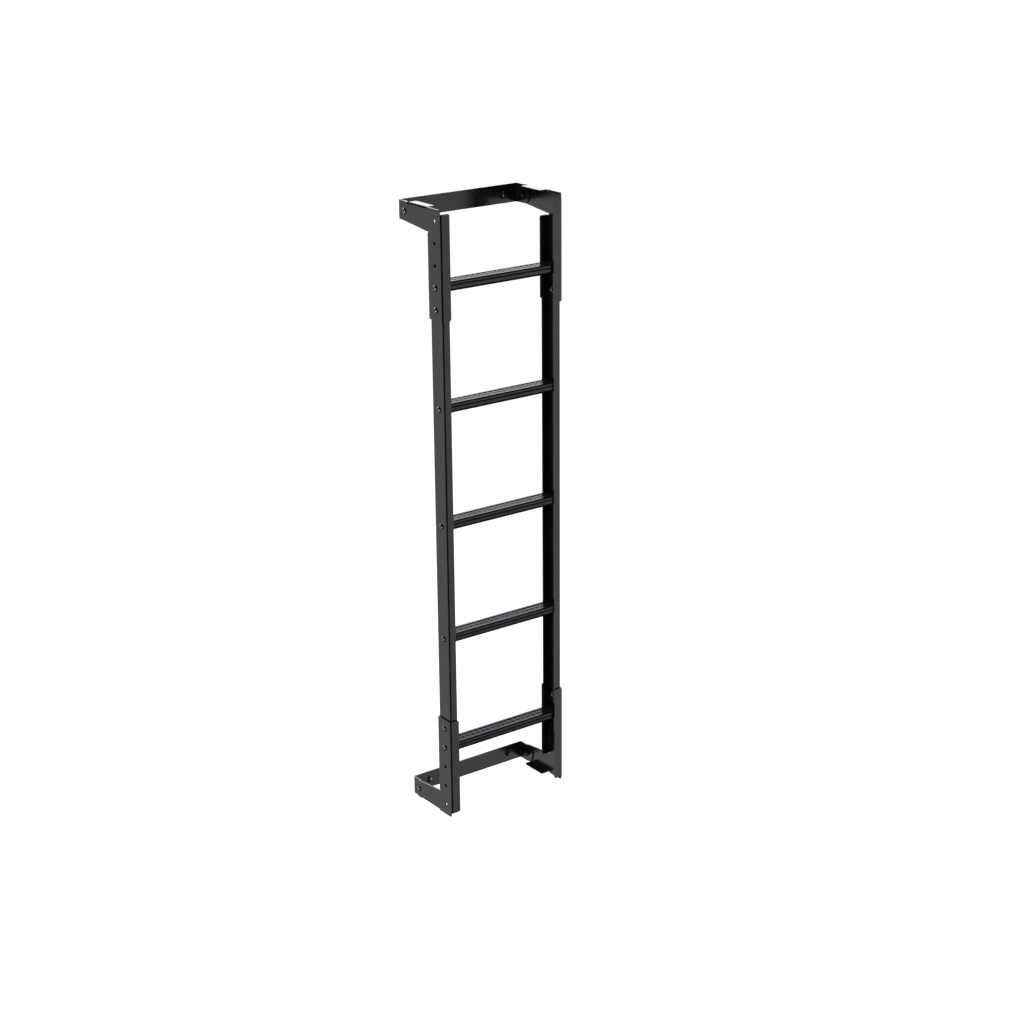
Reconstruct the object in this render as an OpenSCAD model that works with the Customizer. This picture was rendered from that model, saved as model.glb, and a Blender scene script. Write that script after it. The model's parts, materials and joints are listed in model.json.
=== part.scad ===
// Vehicle ladder: two folded channel stiles, five ribbed rungs, and a bolted bracket frame at the top and
// at the bottom that stands the ladder off the vehicle and slides along the stiles for its fitting height.
// Millimetres. X runs across the ladder, Y towards the vehicle and Z up.
// The origin is the centre of the rear face of the bottom cross bar.

/* [Ladder frame] */
// distance between the centres of neighbouring rungs
rung_pitch = 280; // [270:5:300]
// width over the outer faces of the two stiles
frame_w = 330; // [290:2:420]
// depth of a stile from its front face to its rear face
stile_d = 47; // [44:1:50]
// sheet thickness of a stile
stile_t = 2.5; // [2:0.5:3]
// outside radius of a stile's folds
stile_r = 4; // [3.5:0.5:5]
// width of a stile's front flange
stile_front_w = 19.5; // [16:0.5:22]
// width of a stile's rear flange
stile_rear_w = 19.5; // [18:0.5:30]
// corner cut at both ends of a stile's rear flange
stile_cut = 6.5; // [2:0.5:8]
// length of a stile past the bolt of its end rung
stile_tail = 119; // [90:1:125]

/* [Rungs] */
// clearance between a rung and each flange of the stile that it sits in
rung_gap = 0.25; // [0.1:0.05:0.5]
// height of a rung's tread above the line of its bolts
rung_top = 14; // [12:0.5:15]
// height of a rung from its underside to its tread
rung_h = 24; // [22:0.5:26]
// wall thickness of the hollow rung
rung_wall = 2.5; // [2:0.25:3]
// thickness of the tread under its ribs
tread_t = 4.5; // [4:0.25:5]
// radius of a rung's upper corners
rung_top_r = 3.5; // [3.5:0.5:5]
// radius of a rung's lower corners
rung_low_r = 11; // [8:0.5:11]
// outside diameter of the screw boss inside a rung
boss_d = 13; // [12:0.5:14]
// diameter of the tapped hole in the screw boss
boss_hole_d = 7.6; // [7.6:0.1:8]

/* [Tread] */
// width of the smooth strip along the front of the tread
nose_w = 9; // [7:0.5:10]
// width of the smooth strip along the rear of the tread
heel_w = 8; // [5:0.5:9]
// width of the deep groove in front of the rear strip
drain_w = 4; // [3:0.5:5]
// depth of the deep groove
drain_h = 2; // [1:0.25:2.5]
// number of toothed ribs between the smooth front strip and the deep groove
ribs = 3; // [2:1:4]
// width of the groove in front of each rib
rib_gap = 1.6; // [1:0.2:2.4]
// depth of the grooves between the ribs
rib_h = 1.4; // [0.8:0.2:2]
// distance between neighbouring notches along a rib
tooth_pitch = 15; // [10:0.5:20]
// width of a notch at the top of a rib
notch_w = 7.5; // [4:0.5:9]
// depth of a notch
notch_h = 1.2; // [0.6:0.2:1.6]
// width of the two grooves along a rung's front
face_groove_w = 2.4; // [1.6:0.2:3.2]
// depth of the two grooves along a rung's front
face_groove_h = 0.9; // [0.5:0.1:1.2]
// distance from the tread down to the middle of the upper front groove
face_groove_top = 6; // [5:0.5:7]
// distance between the middles of the two front grooves
face_groove_gap = 6; // [4:0.5:7]

/* [Brackets] */
// sheet thickness of a bracket
plate_t = 3; // [2.5:0.5:4]
// outside radius of a bracket's folds
plate_r = 4.5; // [4.5:0.5:6]
// clearance between a bracket and the stile that it slides on
slide_gap = 0.3; // [0.1:0.1:0.5]
// width of the leg's flanges over the front and the rear of the stile
leg_flange_w = 25; // [20:1:28]
// distance that the front flange stops short of the bracket's outer edge
flange_short = 10; // [8:1:14]
// distance between neighbouring holes along the leg
hole_pitch = 50; // [40:5:50]
// number of spare holes past the bolt of the end rung
spare_holes = 3; // [1:1:3]
// distance from the last hole to the end of the leg
leg_end = 24; // [18:1:26]
// diameter of the bracket's bolt holes
bolt_hole_d = 8.5; // [8.5:0.5:10]
// distance from the front face of a bracket to the line of bolts
bolt_line = 24; // [23:1:26]
// distance that the ladder's front face stands off the face it is fixed to
stand_off = 170; // [160:5:220]
// height of the arm where it leaves the leg
arm_root_h = 54; // [50:0.5:60]
// rounding of a bracket's free corners
corner_r = 3; // [1:0.5:4]
// corner cut at both ends of the leg's flanges
leg_cut = 3.5; // [2:0.5:8]
// width of the folded foot flange on the arm's outer edge
foot_w = 23; // [16:1:26]
// length of the foot flange
foot_l = 71; // [50:1:72]
// clearance between the rear of a stile and the foot flange
foot_gap = 5.2; // [5:0.2:8]
// width of the relief notches at the ends of the folds
relief_w = 3; // [2:0.5:4]
// depth of the relief notches past the fold
relief_h = 1.5; // [0.5:0.5:3]

/* [Cross bars] */
// height of a cross bar and of the arm's end
bar_h = 44; // [38:1:48]
// sheet thickness of a cross bar
bar_t = 3; // [2.5:0.5:4]
// outside radius of a cross bar's folds
bar_r = 5; // [4.5:0.5:6]
// distance from a cross bar's centre line to the bolt of the end rung
bar_rise = 155; // [150:1:160]
// distance from the bar's rear face to the tab bolt
tab_bolt = 30; // [28:1:34]
// distance between the two fixing holes of a cross bar
fix_spacing = 240; // [200:5:250]

/* [Bolts] */
// thread diameter of the bolts
bolt_d = 8; // [7.8:0.1:8]
// clearance between a plain shank and the thread that it stands for, on the diameter
thread_gap = 0.5; // [0.4:0.1:0.6]
// length of a rung bolt's shank past the stile's outer face
rung_grip = 24; // [20:1:30]
// diameter of a bolt's head
head_d = 14; // [12:1:16]
// height of a bolt's head
head_h = 4.4; // [4:0.2:5]
// height of the straight rim under the head's dome
rim_h = 1.4; // [1:0.2:2]
// size of the hexagon socket across its flats
socket_af = 5; // [4:1:6]
// depth of the hexagon socket
socket_h = 2.6; // [2:0.2:3]
// size of a nut across its flats
nut_af = 13; // [12:1:14]
// height of a nut
nut_h = 6.5; // [5:0.5:8]
// length of thread that stands out of a nut
thread_out = 3; // [1:0.5:6]

/* [Hidden] */
$fn = 64;
rungs = 5;
// how far a cutting shape runs past the face that it cuts
over = 1;
// across corners for one across flats
hex = 1 / cos(30);
rung_d = stile_d - 2 * stile_t - 2 * rung_gap;
plate_in = frame_w / 2 + slide_gap;
plate_out = plate_in + plate_t;
front_y = -stand_off;
stile_y = front_y + plate_t + slide_gap;
rung_y = stile_y + stile_d / 2;
bolt_y = front_y + bolt_line;
boss_y = bolt_y - rung_y;
low_rung_z = bar_rise;
high_rung_z = low_rung_z + (rungs - 1) * rung_pitch;
top_bar_z = high_rung_z + bar_rise;
outer_reach = bar_rise + bar_h / 2;
root_z = outer_reach - arm_root_h;
leg_d = stile_d + 2 * (slide_gap + plate_t);
leg_reach = hole_pitch + leg_end;
arm_y = stand_off - tab_bolt;
foot_start = plate_t + slide_gap + stile_d + foot_gap;
inner_x = frame_w / 2 - stile_t;
rung_len = 2 * inner_x;
stile_len = (rungs - 1) * rung_pitch + 2 * stile_tail;
shank_d = bolt_d - thread_gap;
rib_w = (rung_d - nose_w - heel_w - drain_w - ribs * rib_gap) / ribs;
teeth = floor(rung_len / tooth_pitch);
dark = [0.2, 0.2, 0.2];
rung_c = [0.16, 0.17, 0.19];
steel = [0.55, 0.56, 0.58];

// height of the middle of rung i, counted from the top
function rung_z(i) = high_rung_z - (i - 1) * rung_pitch;

// quarter of a folded corner: outer radius r, sheet t, corner at the origin, turning into +X and +Y
module fold(r, t, len) {
    linear_extrude(len)
        intersection() {
            translate([r, r])
                difference() {
                    circle(r);
                    circle(r - t);
                }
            square(r);
        }
}

// hole along X
module x_hole(x0, x1, y, z, d) {
    translate([x0, y, z]) rotate([0, 90, 0]) cylinder(d = d, h = x1 - x0);
}

// extrudes a shape drawn in Y and Z along X
module along_x(len) {
    rotate([90, 0, 90]) linear_extrude(len) children();
}

// flange of width w and length len from a fold of radius r, its two free corners cut by c
module flange(w, r, len, t, c) {
    linear_extrude(t)
        polygon([[r, 0], [w - c, 0], [w, c], [w, len - c], [w - c, len], [r, len]]);
}

// left stile: web on the outside, both flanges turned inwards, a corner cut at each end of the rear one
module stile_shape() {
    difference() {
        translate([-frame_w / 2, stile_y, low_rung_z - stile_tail]) {
            translate([0, stile_r, 0]) cube([stile_t, stile_d - 2 * stile_r, stile_len]);
            fold(stile_r, stile_t, stile_len);
            translate([0, stile_d, 0]) mirror([0, 1, 0]) fold(stile_r, stile_t, stile_len);
            translate([stile_r, 0, 0]) cube([stile_front_w - stile_r, stile_t, stile_len]);
            translate([0, stile_d, 0])
                rotate([90, 0, 0]) flange(stile_rear_w, stile_r, stile_len, stile_t, stile_cut);
        }
        for (i = [1 : rungs])
            x_hole(-frame_w / 2 - over, -inner_x + over, bolt_y, rung_z(i), bolt_hole_d);
        for (z = [low_rung_z + hole_pitch, high_rung_z - hole_pitch])
            x_hole(-frame_w / 2 - over, -inner_x + over, bolt_y, z, bolt_hole_d);
    }
}

// outline of a rung in Y and Z, grown outwards by g, its upper face lowered by drop
module rung_outline(g, drop) {
    hy = rung_d / 2 + g;
    low = rung_top - rung_h - g;
    top = rung_top + g - drop;
    rt = rung_top_r + g;
    rl = rung_low_r + g;
    for (s = [-1, 1]) {
        translate([s * (hy - rt), top - rt]) circle(rt);
        translate([s * (hy - rl), low + rl]) circle(rl);
    }
    translate([-hy + rt, low + rl]) square([2 * (hy - rt), top - low - rl]);
    translate([-hy, low + rl]) square([2 * hy, top - low - rl - rt]);
    translate([-hy + rl, low]) square([2 * (hy - rl), rl + over]);
}

// grooves in the tread and in the front of a rung, in Y and Z
module rung_grooves() {
    front = -rung_d / 2;
    for (i = [0 : ribs - 1])
        translate([front + nose_w + i * (rib_w + rib_gap), rung_top - rib_h])
            square([rib_gap, rib_h + over]);
    translate([-front - heel_w - drain_w, rung_top - drain_h]) square([drain_w, drain_h + over]);
    for (i = [0, 1])
        translate([front - over, rung_top - face_groove_top - i * face_groove_gap - face_groove_w / 2])
            square([over + face_groove_h, face_groove_w]);
}

// section of the hollow rung: shell, screw boss on the bolt line and the web that carries it
module rung_section() {
    difference() {
        rung_outline(0, 0);
        difference() {
            rung_outline(-rung_wall, tread_t - rung_wall);
            translate([boss_y, 0]) circle(d = boss_d);
            translate([boss_y - rung_wall / 2, rung_top - rung_h]) square([rung_wall, rung_h]);
        }
        rung_grooves();
    }
}

// round-bottomed notches across the toothed ribs
module notches() {
    r = (notch_w * notch_w / 4 + notch_h * notch_h) / (2 * notch_h);
    len = ribs * (rib_w + rib_gap) - rib_gap / 2;
    rear_y = rung_d / 2 - heel_w - drain_w / 2;
    for (i = [0 : teeth - 1])
        translate([(i - (teeth - 1) / 2) * tooth_pitch, rear_y, rung_top + r - notch_h])
            rotate([90, 0, 0]) cylinder(r = r, h = len + drain_w / 2);
}

// seat of a rung's end between the two folds of a stile, seen from above
module rung_seat() {
    r = stile_r - stile_t + rung_gap;
    for (sx = [-1, 1], sy = [-1, 1])
        translate([sx * (rung_len / 2 - r), sy * (rung_d / 2 - r)]) circle(r);
    square([rung_len, rung_d - 2 * r], center = true);
    square([rung_len - 2 * r, rung_d], center = true);
}

module rung_at(i) {
    translate([0, rung_y, rung_z(i)])
        difference() {
            intersection() {
                translate([-rung_len / 2, 0, 0]) along_x(rung_len) rung_section();
                translate([0, 0, -rung_h]) linear_extrude(2 * rung_h) rung_seat();
            }
            notches();
            x_hole(-rung_len / 2 - over, rung_len / 2 + over, boss_y, 0, boss_hole_d);
        }
}

// flat plate of a bracket in Y and Z: leg, and arm with a round end
module plate_outline() {
    under_z = bar_rise - bar_h / 2;
    difference() {
        union() {
            translate([plate_r, -leg_reach]) square([leg_d - 2 * plate_r, outer_reach + leg_reach]);
            polygon([[plate_r, outer_reach], [arm_y, outer_reach], [arm_y, under_z], [leg_d, root_z],
                [plate_r, root_z]]);
            translate([arm_y, bar_rise]) circle(d = bar_h);
        }
        // relief notch between the fold of the rear flange and the arm
        translate([leg_d - plate_r - relief_h, root_z - relief_w])
            square([plate_r + relief_h + over, relief_w]);
        // free corner over the front flange
        translate([plate_r - over, outer_reach - corner_r]) square([corner_r + over, corner_r + over]);
        // the foot flange's fold starts here, with a relief notch at each end
        translate([foot_start, outer_reach - plate_r]) square([foot_l, plate_r + over]);
        for (y = [foot_start - relief_w, foot_start + foot_l])
            translate([y, outer_reach - plate_r - relief_h]) square([relief_w, plate_r + relief_h + over]);
    }
    translate([plate_r + corner_r, outer_reach - corner_r]) circle(corner_r);
}

// fold and flange along the front of the leg, with the free corners cut
module leg_flange(len) {
    fold(plate_r, plate_t, len);
    translate([0, plate_t, 0]) rotate([90, 0, 0]) flange(leg_flange_w, plate_r, len, plate_t, leg_cut);
}

// left bracket of the top pair, its leg a channel round the stile; Z is measured from the bolt of the
// end rung, X from the outer face inwards, Y from the front face to the rear
module bracket_shape() {
    difference() {
        union() {
            along_x(plate_t) plate_outline();
            translate([0, 0, -leg_reach]) leg_flange(leg_reach + outer_reach - flange_short);
            translate([0, leg_d, -leg_reach])
                mirror([0, 1, 0]) leg_flange(leg_reach + root_z - relief_w);
            translate([0, foot_start, outer_reach]) {
                rotate([-90, 0, 0]) fold(plate_r, plate_t, foot_l);
                translate([0, 0, -plate_t]) flange(foot_w, plate_r, foot_l, plate_t, corner_r);
            }
        }
        for (i = [-1 : spare_holes])
            x_hole(-over, plate_t + over, bolt_line, i * hole_pitch, bolt_hole_d);
        x_hole(-over, plate_t + over, arm_y, bar_rise, bolt_hole_d);
    }
}

module bracket_left() {
    translate([-plate_out, front_y, 0]) bracket_shape();
}

// bar with both ends folded forward into tabs that are round about their bolt; Z from its middle
module bar_shape() {
    difference() {
        union() {
            translate([-plate_in + bar_r, -bar_t, -bar_h / 2]) cube([2 * (plate_in - bar_r), bar_t, bar_h]);
            for (s = [0, 1]) mirror([s, 0, 0]) {
                translate([-plate_in, 0, -bar_h / 2]) mirror([0, 1, 0]) fold(bar_r, bar_t, bar_h);
                translate([-plate_in, -tab_bolt, -bar_h / 2]) cube([bar_t, tab_bolt - bar_r, bar_h]);
                x_hole(-plate_in, -plate_in + bar_t, -tab_bolt, 0, bar_h);
            }
        }
        for (s = [-1, 1])
            translate([s * fix_spacing / 2, over, 0])
                rotate([90, 0, 0]) cylinder(d = bolt_hole_d, h = bar_t + 2 * over);
        for (x = [-plate_in, plate_in - bar_t])
            x_hole(x - over, x + bar_t + over, -tab_bolt, 0, bolt_hole_d);
    }
}

// button head bolt along +X with its seat at x = 0 and a shank of the given length
module bolt_shape(len) {
    dome_h = head_h - rim_h;
    dome_r = (head_d * head_d / 4 + dome_h * dome_h) / (2 * dome_h);
    difference() {
        union() {
            rotate([0, -90, 0])
                rotate_extrude()
                    intersection() {
                        square([head_d / 2, head_h]);
                        translate([0, head_h - dome_r]) circle(dome_r);
                    }
            rotate([0, 90, 0]) cylinder(d = shank_d, h = len);
        }
        translate([-head_h - over, 0, 0])
            rotate([0, 90, 0]) cylinder(d = socket_af * hex, h = socket_h + over, $fn = 6);
    }
}

module nut_shape() {
    difference() {
        rotate([0, 90, 0]) cylinder(d = nut_af * hex, h = nut_h, $fn = 6);
        translate([-over, 0, 0]) rotate([0, 90, 0]) cylinder(d = bolt_d, h = nut_h + 2 * over);
    }
}

// bolts and nuts of the left side
module rung_bolt(i) {
    translate([-frame_w / 2, bolt_y, rung_z(i)]) bolt_shape(rung_grip);
}

module clamp_bolt(z) {
    translate([-plate_out, bolt_y, z]) bolt_shape(plate_t);
}

module leg_nut(z) {
    translate([-inner_x, bolt_y, z]) nut_shape();
}

module tab_bolt_at(z) {
    translate([-plate_out, -tab_bolt, z]) bolt_shape(plate_t + bar_t + nut_h + thread_out);
}

module tab_nut_at(z) {
    translate([-plate_in + bar_t, -tab_bolt, z]) nut_shape();
}

module stile_left() color(dark) stile_shape();
module stile_right() color(dark) mirror([1, 0, 0]) stile_shape();
module rung_1() color(rung_c) rung_at(1);
module rung_2() color(rung_c) rung_at(2);
module rung_3() color(rung_c) rung_at(3);
module rung_4() color(rung_c) rung_at(4);
module rung_5() color(rung_c) rung_at(5);
module bracket_top_left() color(dark) translate([0, 0, high_rung_z]) bracket_left();
module bracket_top_right() color(dark) mirror([1, 0, 0]) translate([0, 0, high_rung_z]) bracket_left();
module bracket_bottom_left() color(dark) translate([0, 0, low_rung_z]) mirror([0, 0, 1]) bracket_left();
module bracket_bottom_right() color(dark) mirror([1, 0, 0]) translate([0, 0, low_rung_z])
    mirror([0, 0, 1]) bracket_left();
module cross_bar_top() color(dark) translate([0, 0, top_bar_z]) bar_shape();
module cross_bar_bottom() color(dark) bar_shape();
module rung_bolt_2_left() color(steel) rung_bolt(2);
module rung_bolt_2_right() color(steel) mirror([1, 0, 0]) rung_bolt(2);
module rung_bolt_3_left() color(steel) rung_bolt(3);
module rung_bolt_3_right() color(steel) mirror([1, 0, 0]) rung_bolt(3);
module rung_bolt_4_left() color(steel) rung_bolt(4);
module rung_bolt_4_right() color(steel) mirror([1, 0, 0]) rung_bolt(4);
module end_bolt_top_left() color(steel) clamp_bolt(high_rung_z);
module end_bolt_top_right() color(steel) mirror([1, 0, 0]) clamp_bolt(high_rung_z);
module end_bolt_bottom_left() color(steel) clamp_bolt(low_rung_z);
module end_bolt_bottom_right() color(steel) mirror([1, 0, 0]) clamp_bolt(low_rung_z);
module leg_bolt_top_left() color(steel) clamp_bolt(high_rung_z - hole_pitch);
module leg_bolt_top_right() color(steel) mirror([1, 0, 0]) clamp_bolt(high_rung_z - hole_pitch);
module leg_bolt_bottom_left() color(steel) clamp_bolt(low_rung_z + hole_pitch);
module leg_bolt_bottom_right() color(steel) mirror([1, 0, 0]) clamp_bolt(low_rung_z + hole_pitch);
module leg_nut_top_left() color(steel) leg_nut(high_rung_z - hole_pitch);
module leg_nut_top_right() color(steel) mirror([1, 0, 0]) leg_nut(high_rung_z - hole_pitch);
module leg_nut_bottom_left() color(steel) leg_nut(low_rung_z + hole_pitch);
module leg_nut_bottom_right() color(steel) mirror([1, 0, 0]) leg_nut(low_rung_z + hole_pitch);
module tab_bolt_top_left() color(steel) tab_bolt_at(top_bar_z);
module tab_bolt_top_right() color(steel) mirror([1, 0, 0]) tab_bolt_at(top_bar_z);
module tab_bolt_bottom_left() color(steel) tab_bolt_at(0);
module tab_bolt_bottom_right() color(steel) mirror([1, 0, 0]) tab_bolt_at(0);
module tab_nut_top_left() color(steel) tab_nut_at(top_bar_z);
module tab_nut_top_right() color(steel) mirror([1, 0, 0]) tab_nut_at(top_bar_z);
module tab_nut_bottom_left() color(steel) tab_nut_at(0);
module tab_nut_bottom_right() color(steel) mirror([1, 0, 0]) tab_nut_at(0);

stile_left();
stile_right();
rung_1();
rung_2();
rung_3();
rung_4();
rung_5();
bracket_top_left();
bracket_top_right();
bracket_bottom_left();
bracket_bottom_right();
cross_bar_top();
cross_bar_bottom();
rung_bolt_2_left();
rung_bolt_2_right();
rung_bolt_3_left();
rung_bolt_3_right();
rung_bolt_4_left();
rung_bolt_4_right();
end_bolt_top_left();
end_bolt_top_right();
end_bolt_bottom_left();
end_bolt_bottom_right();
leg_bolt_top_left();
leg_bolt_top_right();
leg_bolt_bottom_left();
leg_bolt_bottom_right();
leg_nut_top_left();
leg_nut_top_right();
leg_nut_bottom_left();
leg_nut_bottom_right();
tab_bolt_top_left();
tab_bolt_top_right();
tab_bolt_bottom_left();
tab_bolt_bottom_right();
tab_nut_top_left();
tab_nut_top_right();
tab_nut_bottom_left();
tab_nut_bottom_right();
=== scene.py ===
"""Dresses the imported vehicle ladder: coats, anodised rungs, zinc plated fasteners, studio and camera."""

import json
import math

import bmesh
import bpy
from mathutils import Matrix, Vector


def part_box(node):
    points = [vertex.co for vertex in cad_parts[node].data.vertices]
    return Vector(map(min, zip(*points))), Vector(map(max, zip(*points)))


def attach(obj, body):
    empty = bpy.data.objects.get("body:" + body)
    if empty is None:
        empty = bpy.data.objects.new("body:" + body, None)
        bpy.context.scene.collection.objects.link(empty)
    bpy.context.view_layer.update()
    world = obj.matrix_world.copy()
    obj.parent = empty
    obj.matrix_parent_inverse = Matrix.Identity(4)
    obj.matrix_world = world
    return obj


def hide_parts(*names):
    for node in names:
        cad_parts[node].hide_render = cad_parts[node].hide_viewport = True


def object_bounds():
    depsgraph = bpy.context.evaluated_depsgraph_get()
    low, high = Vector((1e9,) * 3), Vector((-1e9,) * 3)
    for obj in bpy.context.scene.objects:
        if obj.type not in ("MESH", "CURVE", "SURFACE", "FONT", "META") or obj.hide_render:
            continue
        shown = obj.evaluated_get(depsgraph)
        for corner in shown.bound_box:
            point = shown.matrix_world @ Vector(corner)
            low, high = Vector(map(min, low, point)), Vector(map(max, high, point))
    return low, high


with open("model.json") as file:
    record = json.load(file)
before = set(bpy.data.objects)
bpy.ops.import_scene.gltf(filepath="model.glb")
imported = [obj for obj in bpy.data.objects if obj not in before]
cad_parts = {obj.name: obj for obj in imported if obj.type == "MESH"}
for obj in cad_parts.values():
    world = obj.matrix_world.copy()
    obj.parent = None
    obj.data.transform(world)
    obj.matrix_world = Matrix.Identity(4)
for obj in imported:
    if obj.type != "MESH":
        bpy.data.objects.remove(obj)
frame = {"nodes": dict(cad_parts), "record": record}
nodes = frame["nodes"]
cad_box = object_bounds()

MM = 0.001

# fasteners: M8 button head bolts and hexagon nuts
AROUND = 48  # points on a ring
HEAD_H = 4.4 * MM
HEAD_R = 7.0 * MM
RIM_H = 1.4 * MM
DOME_RINGS = (3.6, 4.4, 5.2, 6.0, 6.5)  # radii in mm
SOCKET_AF = 5.0 * MM
SOCKET_H = 2.6 * MM
SHANK_R = 3.75 * MM
THREAD_R = 3.95 * MM
THREAD_ROOT_R = 3.35 * MM
PITCH = 1.25 * MM
RINGS_A_TURN = 6
TAB_THREAD = 9.8 * MM  # threaded end of a tab bolt
STUB_IN = 1.0 * MM  # how far a leg bolt's stub starts before and ends behind its nut
STUB_OUT = 3.0 * MM
NUT_AF = 13.0 * MM
NUT_BORE_R = 4.0 * MM
NUT_CHAMFER = 0.6 * MM
SMOOTH_BELOW = 32  # degrees between faces

# the two bolts of each cross bar
FIX_X = 120 * MM
BAR_T = 3 * MM

# rungs
RUNG_PITCH = 280 * MM
LOW_RUNG_Z = 155 * MM
RUNG_FRONT_Y = -163.95 * MM
GROOVE_SHADE_UP = 5.5 * MM  # painted shade: black line along a rung's front, above its bolts, over its groove
GROOVE_SHADE_W = 4.2 * MM
TREAD_UP = 10.0 * MM  # what lies higher above the bolts is tread
TREAD_FROM = (2.0 * MM, 4.0 * MM)  # behind the rounded front edge
VALLEY_SHADE_LINES = ((17.0 * MM, 5.0 * MM), (28.8 * MM, 4.4 * MM))  # painted shade in the tread's valleys; from the front, middle and width
# painted highlight: the tread mirrors more from its middle back, and most at its heel
MID_FROM = (16.0 * MM, 18.0 * MM)
HEEL_FROM = (33.5 * MM, 35.0 * MM)
MID_HIGHLIGHT_GAIN = 1.3
HEEL_HIGHLIGHT_GAIN = 2.4
TREAD_MIRROR = 0.055
GROOVE_SHADE_MIRROR = 0.04
TREAD_ROUGH = 0.24
FRONT_ROUGH = 0.26
NOTCH_SLOPE = 0.2  # share of the notches' slope along X that shows in the shading

# folded sheet
FULL_MIRROR = 0.5  # Blender's plain value for a glossy coat
# gloss lowered to paint shade on upturned bends and on strips inside the top and bottom
SHADE_MIRROR = 0.05
MIDDLE_Z = (cad_box[0].z + cad_box[1].z) / 2
SHADE_STRIP_FROM = (cad_box[1].z - cad_box[0].z) / 2 - 4 * MM  # painted shade: dull strip inside the ladder's top and bottom

# what shiny surfaces mirror. Heights are sines; compass degrees are 0 at the ladder's rear, 90 at its right
AMBIENT = 0.75
GROUND_END = (-0.71, -0.50)
HORIZON = (-0.02, 0.06)
DARK_AT = -150  # compass direction of the darkness round the camera
DARK_EDGE = (0.50, 0.64)  # cosine of the angle to its middle
DIM_LEFT = (0.49, 0.53)  # X left of which the ground is dimmer
DIM_GROUND = 0.76
GLOW_LEFT = (-0.88, -0.70)  # X left of which it is brighter
GLOW_GROUND = 1.4
SLANT = (-0.772, -0.682)  # X / Y below which it is brighter, both behind and in front
SLANT_GROUND = 1.34
PANEL_AT = 36  # compass direction of the bright panel
PANEL_EDGE = (0.45, 0.70)  # cosine of the angle to its middle
PANEL_BOTTOM = (0.03, 0.12)
PANEL_TOP = (0.45, 0.52)
PANEL_TONES = ((0.19, 3.0), (0.21, 2.0), (0.30, 4.4), (0.45, 6.0))  # height and brightness
PANEL_TINT = (0.88, 0.98, 1.06)
FLOOR_Z = -0.30
FLOOR_HALF = 9.0
FLOOR_TONE = 0.82
FLOOR_LIFT = 0.45  # added for the camera alone, so that the lit floor is near white


# ---------------------------------------------------------------- materials


class Nodes:
    """Short hand for one material's or world's node tree."""

    def __init__(self, tree):
        self.tree = tree
        tree.nodes.clear()

    def add(self, kind, inputs=None, **props):
        node = self.tree.nodes.new(kind)
        for key, value in props.items():
            setattr(node, key, value)
        for key, value in (inputs or {}).items():
            if isinstance(value, bpy.types.NodeSocket):
                self.tree.links.new(value, node.inputs[key])
            else:
                node.inputs[key].default_value = value
        return node

    def coords(self, scale=(1, 1, 1)):
        place = self.add("ShaderNodeTexCoord")
        mapping = self.add("ShaderNodeMapping", {"Vector": place.outputs["Object"], "Scale": scale})
        return mapping.outputs["Vector"]

    def place(self):
        """Sockets X, Y and Z of the surface point at rest."""
        return self.add("ShaderNodeSeparateXYZ", {"Vector": self.coords()}).outputs

    def normal(self):
        return self.add("ShaderNodeNewGeometry").outputs["Normal"]

    def noise(self, vector, scale, detail=3.0, rough=0.5):
        made = self.add(
            "ShaderNodeTexNoise",
            {"Vector": vector, "Scale": scale, "Detail": detail, "Roughness": rough},
        )
        return made.outputs["Fac"]

    def span(self, value, low, high, to_low, to_high):
        made = self.add(
            "ShaderNodeMapRange",
            {"Value": value, "From Min": low, "From Max": high, "To Min": to_low, "To Max": to_high},
        )
        return made.outputs["Result"]

    def mix(self, factor, a, b):
        made = self.add("ShaderNodeMix", {"Factor": factor}, data_type="RGBA")
        for socket, value in ((made.inputs[6], a), (made.inputs[7], b)):
            if isinstance(value, bpy.types.NodeSocket):
                self.tree.links.new(value, socket)
            else:
                socket.default_value = (*value, 1)
        return made.outputs[2]

    def math(self, operation, a, b=0.0):
        return self.add("ShaderNodeMath", {0: a, 1: b}, operation=operation).outputs[0]

    def product(self, *values):
        out = values[0]
        for value in values[1:]:
            out = self.math("MULTIPLY", out, value)
        return out

    def vector(self, operation, **inputs):
        """Vector maths; a and b are its two vectors, scale its number."""
        keys = {"a": 0, "b": 1, "scale": "Scale"}
        made = self.add(
            "ShaderNodeVectorMath",
            {keys[key]: value for key, value in inputs.items()},
            operation=operation,
        )
        return made.outputs["Vector"]

    def band(self, value, middle, width, soft=0.3 * MM):
        """1 where value lies within the band, 0 outside."""
        off = self.math("ABSOLUTE", self.math("SUBTRACT", value, middle))
        return self.span(off, width / 2 - soft, width / 2 + soft, 1.0, 0.0)

    def steps(self, value, points):
        """Straight lines through (value, result) points."""
        out = points[0][1]
        for (low, a), (high, b) in zip(points, points[1:]):
            out = self.math("ADD", out, self.span(value, low, high, 0.0, b - a))
        return out

    def edges(self, radius, low, high):
        """1 on sharp edges, 0 on flat faces."""
        bevel = self.add("ShaderNodeBevel", {"Radius": radius}, samples=4)
        dot = self.add(
            "ShaderNodeVectorMath",
            {0: bevel.outputs["Normal"], 1: self.normal()},
            operation="DOT_PRODUCT",
        )
        return self.span(dot.outputs["Value"], high, low, 0.0, 1.0)

    def surface(self, **inputs):
        """Principled shader as the material's surface, with the input names in lower case."""
        names = {"color": "Base Color", "rough": "Roughness", "metallic": "Metallic",
                 "mirror": "Specular IOR Level", "normal": "Normal"}
        shader = self.add(
            "ShaderNodeBsdfPrincipled",
            {"IOR": 1.5, **{names[key]: value for key, value in inputs.items()}},
        )
        self.add("ShaderNodeOutputMaterial", {"Surface": shader.outputs["BSDF"]})


def material(name):
    made = bpy.data.materials.new(name)
    made.use_nodes = True
    return made, Nodes(made.node_tree)


def times(tone, factor):
    return tuple(c * factor for c in tone)


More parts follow.
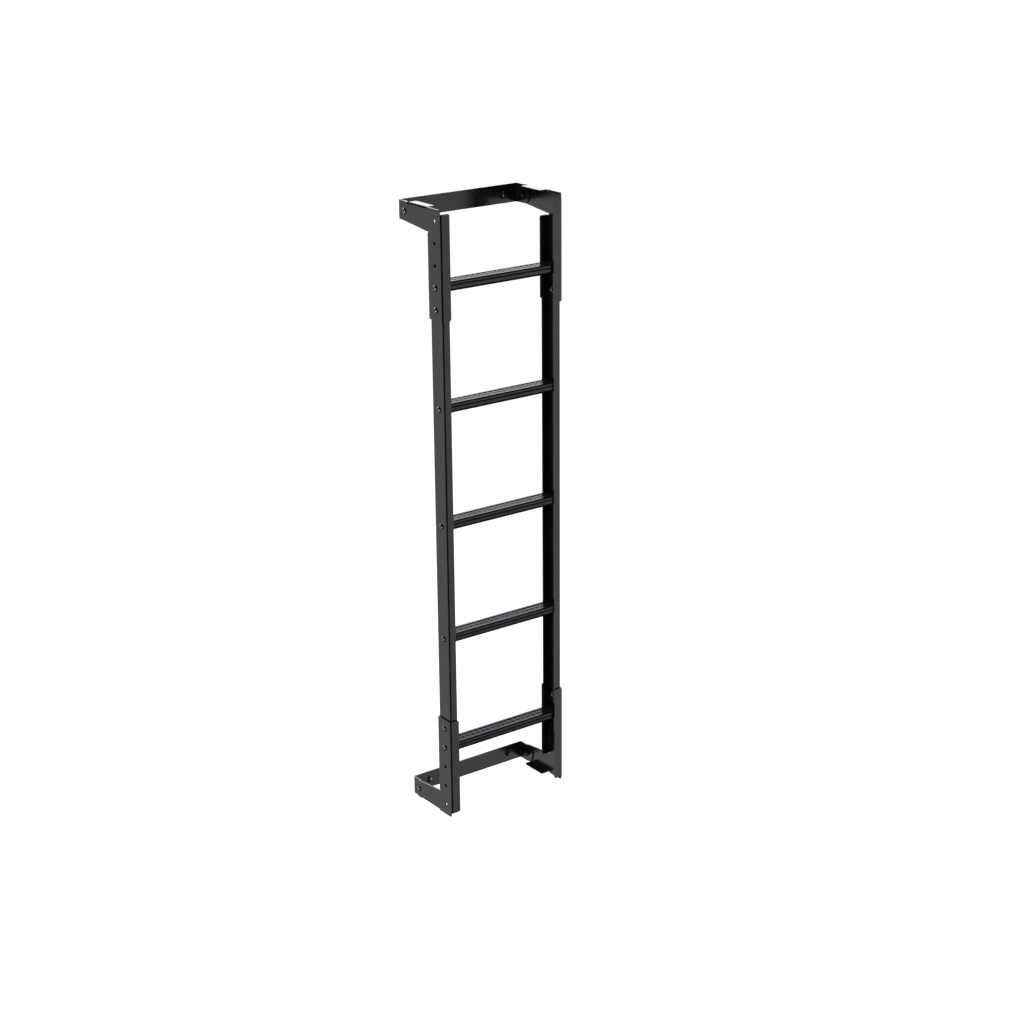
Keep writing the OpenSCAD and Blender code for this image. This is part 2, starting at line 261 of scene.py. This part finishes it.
def folded_mirror_with_shade(n):
    """Gloss of folded sheet, with painted shade: dull on bends that turn upwards, and on the lips inside
    top and bottom, so that dark lines of shade show there.
    """
    normal = n.add("ShaderNodeSeparateXYZ", {"Vector": n.normal()}).outputs
    place = n.place()
    # painted shade: a dark line along bends that turn upwards, made by dulling their gloss
    bend_shade = n.product(n.span(normal["Z"], 0.10, 0.25, 0.0, 1.0), n.span(normal["Z"], 0.990, 0.998, 1.0, 0.0))
    inward = n.span(n.product(normal["X"], place["X"]), -0.12, -0.08, 1.0, 0.0)
    far = n.math("ABSOLUTE", n.math("SUBTRACT", place["Z"], MIDDLE_Z))
    shade_strip = n.product(inward, n.span(far, SHADE_STRIP_FROM, SHADE_STRIP_FROM + 1 * MM, 0.0, 1.0))
    return n.span(n.math("MAXIMUM", bend_shade, shade_strip), 0.0, 1.0, FULL_MIRROR, SHADE_MIRROR)


def coat(name, tone, highlight_tone=(0.03, 0.03, 0.03), rough=0.20, grain=0.05 * MM):
    """Satin powder coat: fine orange peel, cloudy tone, and edges lightened here and there as a painted
    highlight.
    """
    made, n = material(name)
    place = n.coords()
    cloud = n.noise(place, 14, 4)
    fine = n.noise(place, 420, 2)
    peel = n.noise(place, 1100, 2)
    # painted highlight: sharp edges lightened here and there
    edge_highlight = n.product(n.edges(0.5 * MM, 0.90, 0.995), n.span(n.noise(place, 60, 3), 0.45, 0.7, 0.0, 1.0))
    body = n.mix(n.span(cloud, 0.35, 0.65, 0.0, 1.0), times(tone, 0.75), times(tone, 1.3))
    body = n.mix(n.span(fine, 0.5, 0.8, 0.0, 0.25), body, times(tone, 2))
    body = n.mix(n.product(edge_highlight, 0.5), body, highlight_tone)
    uneven = n.math("ADD", n.span(cloud, 0.3, 0.7, rough - 0.03, rough + 0.03),
                    n.span(fine, 0.3, 0.7, -0.02, 0.02))
    bump = n.add("ShaderNodeBump", {"Height": peel, "Strength": 0.25, "Distance": grain})
    n.surface(color=body, rough=uneven, mirror=folded_mirror_with_shade(n), normal=bump.outputs["Normal"])
    return made


def rung_masks(n):
    """Where a rung's tread lies, its level top behind the front edge, and how much each place mirrors, with
    painted highlights on the tread's middle and heel and painted shade in its valleys and along the front.
    """
    place = n.place()
    behind = n.math("SUBTRACT", place["Y"], RUNG_FRONT_Y)
    from_middle = n.math("SUBTRACT", place["Z"], LOW_RUNG_Z - RUNG_PITCH / 2)
    above = n.math("MODULO", from_middle, RUNG_PITCH)
    crest = n.math("SUBTRACT", above, RUNG_PITCH / 2 + TREAD_UP)
    top = n.product(n.span(crest, 0.0, 1 * MM, 0.0, 1.0), n.span(behind, *TREAD_FROM, 0.0, 1.0))
    facing_up = n.add("ShaderNodeSeparateXYZ", {"Vector": n.normal()}).outputs["Z"]
    tread = n.math("MAXIMUM", top, n.span(facing_up, 0.75, 0.95, 0.0, 1.0))
    # painted shade: the tread mirrors little in its valleys
    valley_shade = n.math("ADD", *(n.band(behind, middle, width) for middle, width in VALLEY_SHADE_LINES))
    # painted highlight on the tread's middle and heel
    on_tread = n.product(
        n.span(behind, *MID_FROM, 1.0, MID_HIGHLIGHT_GAIN),
        n.span(behind, *HEEL_FROM, 1.0, HEEL_HIGHLIGHT_GAIN),
        TREAD_MIRROR,
        n.span(valley_shade, 0.0, 1.0, 1.0, 0.1),
    )
    # painted shade of the front groove: a band where the rung mirrors little
    groove_shade = n.band(above, RUNG_PITCH / 2 + GROOVE_SHADE_UP, GROOVE_SHADE_W)
    on_front = n.span(groove_shade, 0.0, 1.0, FULL_MIRROR, GROOVE_SHADE_MIRROR)
    front = n.math("SUBTRACT", 1.0, tread)
    mirror = n.math("ADD", n.product(tread, on_tread), n.product(front, on_front))
    return tread, top, mirror


def anodised(name, tone, highlight_tone):
    """Black anodised extrusion: fine drawing lines along X, a matt tread, a black line of painted groove
    shade along the front, and a painted highlight on its edges.
    """
    made, n = material(name)
    drawn = n.noise(n.coords((3, 900, 900)), 1.0, 3)
    place = n.coords()
    cloud = n.noise(place, 22, 3)
    # painted highlight: sharp edges lightened, more in patches
    edge_highlight = n.product(n.edges(0.4 * MM, 0.88, 0.99), n.span(n.noise(place, 90, 3), 0.35, 0.65, 0.2, 1.0))
    body = n.mix(n.span(cloud, 0.3, 0.7, 0.0, 1.0), times(tone, 0.8), tone)
    body = n.mix(n.span(drawn, 0.4, 0.7, 0.0, 0.4), body, times(tone, 1.8))
    body = n.mix(n.product(edge_highlight, 0.4), body, highlight_tone)
    tread, top, mirror = rung_masks(n)
    uneven = n.math("ADD", n.span(drawn, 0.3, 0.7, -0.04, 0.04), n.span(cloud, 0.3, 0.7, -0.02, 0.02))
    uneven = n.math("ADD", uneven, n.span(tread, 0.0, 1.0, FRONT_ROUGH, TREAD_ROUGH))
    calm = n.add("ShaderNodeCombineXYZ", {"X": n.span(top, 0.0, 1.0, 1.0, NOTCH_SLOPE), "Y": 1.0, "Z": 1.0})
    level = n.vector("MULTIPLY", a=n.normal(), b=calm.outputs["Vector"])
    bump = n.add(
        "ShaderNodeBump",
        {"Height": drawn, "Strength": 0.2, "Distance": 0.03 * MM, "Normal": n.vector("NORMALIZE", a=level)},
    )
    n.surface(color=body, rough=uneven, mirror=mirror, normal=bump.outputs["Normal"])
    return made


def plated(name, tone):
    """Zinc plated steel: a little cloudy, with turning lines."""
    made, n = material(name)
    cloud = n.noise(n.coords(), 180, 3)
    lines = n.noise(n.coords((2500, 300, 300)), 1.0, 2)
    body = n.mix(n.span(cloud, 0.3, 0.7, 0.0, 1.0), times(tone, 0.8), tone)
    bump = n.add("ShaderNodeBump", {"Height": lines, "Strength": 0.15, "Distance": 0.02 * MM})
    n.surface(color=body, rough=n.span(cloud, 0.3, 0.7, 0.20, 0.32), metallic=1.0,
              normal=bump.outputs["Normal"])
    return made


BOLT_STEEL = plated("bolt_steel", (0.36, 0.36, 0.37))
NUT_STEEL = plated("nut_steel", (0.10, 0.10, 0.10))
COATS = {
    "stile_coat": coat("stile_coat", (0.0045, 0.0045, 0.0045)),
    "bracket_coat": coat("bracket_coat", (0.0055, 0.0045, 0.004)),
    "bar_coat": coat("bar_coat", (0.0045, 0.0045, 0.0045)),
    "rung_black": anodised("rung_black", (0.0045, 0.005, 0.006), (0.05, 0.053, 0.06)),
    "bolt_steel": BOLT_STEEL,
}

for part in frame["record"]["subparts"]:
    mesh = nodes[part["node"]].data
    mesh.materials.clear()
    mesh.materials.append(COATS[part["material_slot"]])


# ---------------------------------------------------------------- fasteners


def ring(x, radius):
    """Points round the X axis; x and radius are numbers or functions of the angle."""
    out = []
    for k in range(AROUND):
        angle = 2 * math.pi * k / AROUND
        r = radius(angle) if callable(radius) else radius
        out.append((x(angle) if callable(x) else x, r * math.cos(angle), r * math.sin(angle)))
    return out


def hexagon(across_flats):
    """Radius of a hexagon by angle."""
    sixth = math.pi / 3

    def radius(angle):
        return across_flats / 2 / math.cos(angle % sixth - sixth / 2)

    return radius


def skin(name, rings, capped):
    """A mesh through rings. Where capped is True both ends are closed, else the last meets the first."""
    bm = bmesh.new()
    loops = [[bm.verts.new(p) for p in points] for points in rings]
    pairs = list(zip(loops, loops[1:]))
    if not capped:
        pairs.append((loops[-1], loops[0]))
    for a, b in pairs:
        for k in range(AROUND):
            m = (k + 1) % AROUND
            bm.faces.new((a[k], a[m], b[m], b[k]))
    if capped:
        for loop in (loops[0], loops[-1]):
            tip = bm.verts.new(sum((v.co for v in loop), Vector()) / AROUND)
            for k in range(AROUND):
                bm.faces.new((loop[k], loop[(k + 1) % AROUND], tip))
    bmesh.ops.recalc_face_normals(bm, faces=bm.faces)
    mesh = bpy.data.meshes.new(name)
    bm.to_mesh(mesh)
    bm.free()
    for face in mesh.polygons:
        face.use_smooth = True
    mesh.set_sharp_from_angle(angle=math.radians(SMOOTH_BELOW))
    return mesh


def thread_rings(start, end):
    """Rings of a threaded rod between two places on the X axis, with a chamfered end."""
    steps = max(2, round((end - start) / PITCH * RINGS_A_TURN))
    out = []
    for s in range(steps + 1):
        x = start + (end - start) * s / steps
        top = min(THREAD_R, THREAD_ROOT_R + (end - x))

        def radius(angle, x=x, top=top):
            phase = (x / PITCH - angle / (2 * math.pi)) % 1.0
            ridge = 1 - abs(2 * phase - 1)
            return THREAD_ROOT_R + max(0.0, top - THREAD_ROOT_R) * ridge

        out.append(ring(x, radius))
    return out


def bolt_rings(length, threaded):
    """Button head bolt along +X with its seat at x = 0. threaded is the length of thread at its end."""
    dome_h = HEAD_H - RIM_H
    dome_r = (HEAD_R**2 + dome_h**2) / (2 * dome_h)

    def dome_x(r):
        return -(RIM_H + dome_h - dome_r + math.sqrt(dome_r**2 - r**2))

    mouth = hexagon(SOCKET_AF + 0.5 * MM)
    wall = hexagon(SOCKET_AF)
    floor_x = -HEAD_H + SOCKET_H
    out = [
        ring(floor_x + 0.5 * MM, 0.2 * MM),
        ring(floor_x, hexagon(SOCKET_AF - 0.1 * MM)),
        ring(-HEAD_H + 0.35 * MM, wall),
        ring(lambda a: dome_x(mouth(a)) + 0.02 * MM, mouth),
    ]
    out += [ring(dome_x(r * MM), r * MM) for r in DOME_RINGS]
    out += [
        ring(-RIM_H - 0.25 * MM, HEAD_R - 0.18 * MM),
        ring(-RIM_H + 0.1 * MM, HEAD_R),
        ring(-0.25 * MM, HEAD_R),
        ring(0.0, HEAD_R - 0.25 * MM),
        ring(0.0, SHANK_R + 0.3 * MM),
        ring(0.3 * MM, SHANK_R),
    ]
    if threaded:
        out.append(ring(length - threaded, SHANK_R))
        out += thread_rings(length - threaded + 0.2 * MM, length)
    else:
        out += [ring(length - 0.5 * MM, SHANK_R), ring(length, SHANK_R - 0.5 * MM)]
    return out


def nut_rings(height):
    """Hexagon nut along +X from x = 0, chamfered on both faces and in its bore."""
    corner = hexagon(NUT_AF)
    flat_r = NUT_AF / 2 * 0.97
    slope = math.tan(math.radians(30))

    def drop(angle):
        return max(0.0, corner(angle) - flat_r) * slope

    return [
        ring(0.0, NUT_BORE_R + NUT_CHAMFER),
        ring(0.0, flat_r),
        ring(drop, corner),
        ring(lambda a: height - drop(a), corner),
        ring(height, flat_r),
        ring(height, NUT_BORE_R + NUT_CHAMFER),
        ring(height - NUT_CHAMFER, NUT_BORE_R),
        ring(NUT_CHAMFER, NUT_BORE_R),
    ]


def place(name, mesh, body, where, turn, steel, stands_for=()):
    """Puts a fastener in the scene on its body, in place of the plain one where there is one."""
    mesh.transform(turn)
    mesh.materials.append(steel)
    piece = bpy.data.objects.new(name, mesh)
    piece.location = where
    bpy.context.scene.collection.objects.link(piece)
    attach(piece, body)
    if stands_for:
        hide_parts(*stands_for)


def facing(side):
    """Turns a fastener drawn for the left side to its side."""
    return Matrix() if side == "left" else Matrix.Rotation(math.pi, 4, "Z")


def node_body(name):
    for body, members in frame["record"]["behaviour"]["bodies"].items():
        if name in members:
            return body
    raise KeyError(name)


def roll(k):
    """Each fastener is tightened to its own angle."""
    return Matrix.Rotation(math.radians((k * 47) % 360), 4, "X")


def seat(name):
    """Side of a fastener's node, its length along X and the place of its outer end."""
    low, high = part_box(name)
    side = name.rsplit("_", 1)[1]
    outer_x = low.x if side == "left" else high.x
    return side, high.x - low.x, Vector((outer_x, (low.y + high.y) / 2, (low.z + high.z) / 2))


def by_place(*kinds):
    """Names of the fasteners of these kinds, in order of kind, end and side."""
    places = [f"{end}_{side}" for end in ("top", "bottom") for side in ("left", "right")]
    return [f"{kind}_{where}" for kind in kinds for where in places]


def bolts():
    names = [f"rung_bolt_{i}_{side}" for i in (2, 3, 4) for side in ("left", "right")]
    names += by_place("end_bolt", "leg_bolt", "tab_bolt")
    for k, name in enumerate(names):
        side, length, where = seat(name)
        where.x += HEAD_H if side == "left" else -HEAD_H
        rings = bolt_rings(length - HEAD_H, TAB_THREAD if name.startswith("tab") else 0.0)
        place(f"{name}_made", skin(name, rings, True), node_body(name), where, facing(side) @ roll(k),
              BOLT_STEEL, (name,))


def nuts():
    """All nuts, and the leg bolts' ends, which stay in their nuts."""
    for k, name in enumerate(by_place("leg_nut", "tab_nut")):
        side, height, where = seat(name)
        place(f"{name}_made", skin(name, nut_rings(height), False), node_body(name), where, facing(side),
              NUT_STEEL, (name,))
        if name.startswith("leg"):
            stub = thread_rings(-STUB_IN, height + STUB_OUT)
            place(f"{name}_thread", skin(f"{name}_thread", stub, True), "ladder", where,
                  facing(side) @ roll(k + 3), NUT_STEEL)


def vehicle_bolts():
    """The two bolts that hold each cross bar on the vehicle, cut off behind the bar."""
    for k, (end, x) in enumerate((e, s * FIX_X) for e in ("top", "bottom") for s in (-1, 1)):
        low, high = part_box(f"cross_bar_{end}")
        hand = "left" if x < 0 else "right"
        rings = bolt_rings(BAR_T - 0.2 * MM, 0.0)
        turn = Matrix.Rotation(math.pi / 2, 4, "Z") @ roll(k + 5)
        place(f"vehicle_bolt_{end}_{hand}", skin("vehicle_bolt", rings, True), f"{end}_mount",
              (x, high.y - BAR_T, (low.z + high.z) / 2), turn, BOLT_STEEL)


bolts()
nuts()
vehicle_bolts()


# ---------------------------------------------------------------- studio

scene = bpy.context.scene
scene.view_settings.view_transform = "Standard"


def world_light():
    """White ground beside and behind the ladder, a bright panel behind it, darkness round the camera."""
    world = bpy.data.worlds.new("studio")
    world.use_nodes = True
    scene.world = world
    n = Nodes(world.node_tree)
    seen = n.add("ShaderNodeTexCoord").outputs["Generated"]
    seen = n.add("ShaderNodeSeparateXYZ", {"Vector": seen}).outputs
    height = seen["Z"]

    def toward(degrees):
        """Cosine between the seen direction and a compass direction."""
        angle = math.radians(degrees)
        return n.math("ADD", n.product(seen["X"], math.sin(angle)), n.product(seen["Y"], math.cos(angle)))

    ground = n.product(
        n.span(height, *GROUND_END, 0.0, 1.0),
        n.span(height, *HORIZON, 1.0, 0.0),
        n.span(toward(DARK_AT), *DARK_EDGE, 1.0, 0.0),
        n.span(seen["X"], *DIM_LEFT, DIM_GROUND, 1.0),
        n.span(seen["X"], *GLOW_LEFT, GLOW_GROUND, 1.0),
        n.span(n.math("DIVIDE", seen["X"], seen["Y"]), *SLANT, SLANT_GROUND, 1.0),
    )
    panel = n.product(
        n.span(height, *PANEL_BOTTOM, 0.0, 1.0),
        n.span(height, *PANEL_TOP, 1.0, 0.0),
        n.span(toward(PANEL_AT), *PANEL_EDGE, 0.0, 1.0),
        n.steps(height, PANEL_TONES),
    )
    mirrored = n.vector("ADD", a=ground, b=n.vector("SCALE", a=PANEL_TINT, scale=panel))
    path = n.add("ShaderNodeLightPath")
    colour = n.mix(path.outputs["Is Glossy Ray"], (AMBIENT,) * 3, mirrored)
    colour = n.mix(path.outputs["Is Camera Ray"], colour, (1.0,) * 3)
    light = n.add("ShaderNodeBackground", {"Color": colour, "Strength": 1.0})
    n.add("ShaderNodeOutputWorld", {"Surface": light.outputs["Background"]})


def floor():
    """Pale floor that keeps the ladder's soft shadow."""
    made, n = material("floor_white")
    path = n.add("ShaderNodeLightPath")
    paint = n.add("ShaderNodeBsdfDiffuse", {"Color": (FLOOR_TONE, FLOOR_TONE, FLOOR_TONE, 1)})
    lift = n.product(path.outputs["Is Camera Ray"], FLOOR_LIFT)
    glow = n.add("ShaderNodeEmission", {"Color": (1, 1, 1, 1), "Strength": lift})
    both = n.add("ShaderNodeAddShader", {0: paint.outputs[0], 1: glow.outputs[0]})
    n.add("ShaderNodeOutputMaterial", {"Surface": both.outputs[0]})
    mesh = bpy.data.meshes.new("floor")
    corners = [(x * FLOOR_HALF, y * FLOOR_HALF, FLOOR_Z) for x, y in ((-1, -1), (1, -1), (1, 1), (-1, 1))]
    mesh.from_pydata(corners, [], [(0, 1, 2, 3)])
    mesh.materials.append(made)
    piece = bpy.data.objects.new("floor", mesh)
    scene.collection.objects.link(piece)
    piece.visible_glossy = False


def lamp(name, where, aim, size, watts):
    """Soft lamp that no surface mirrors."""
    data = bpy.data.lights.new(name, "AREA")
    data.shape = "DISK"
    data.size = size
    data.energy = watts
    piece = bpy.data.objects.new(name, data)
    piece.location = where
    piece.rotation_mode = "QUATERNION"
    piece.rotation_quaternion = (Vector(aim) - Vector(where)).to_track_quat("-Z", "Y")
    piece.visible_glossy = False
    scene.collection.objects.link(piece)


def camera(target, distance, azimuth, elevation, tilt, lens):
    """The photo's camera: it looks at target from its azimuth, with angles in degrees, lens in mm."""
    azimuth, elevation, tilt = (math.radians(angle) for angle in (azimuth, elevation, tilt))
    away = Vector((
        math.sin(azimuth) * math.cos(elevation),
        -math.cos(azimuth) * math.cos(elevation),
        math.sin(elevation),
    ))
    data = bpy.data.cameras.new("camera")
    data.sensor_width = 36
    data.lens = lens
    data.clip_start = 0.1
    piece = bpy.data.objects.new("camera", data)
    piece.location = Vector(target) + away * distance
    aim = (-away).to_track_quat("-Z", "Y").to_matrix()
    piece.rotation_euler = (aim @ Matrix.Rotation(tilt, 3, "Z")).to_euler()
    scene.collection.objects.link(piece)
    scene.camera = piece


world_light()
floor()
lamp("overhead", (-1.2, 0.6, 3.4), (0, -0.1, 0.7), 2.2, 60)
camera(target=(0.01866, -0.170, 0.71807), distance=4.83979, azimuth=-36.245, elevation=19.259,
       tilt=-0.511, lens=72.708)
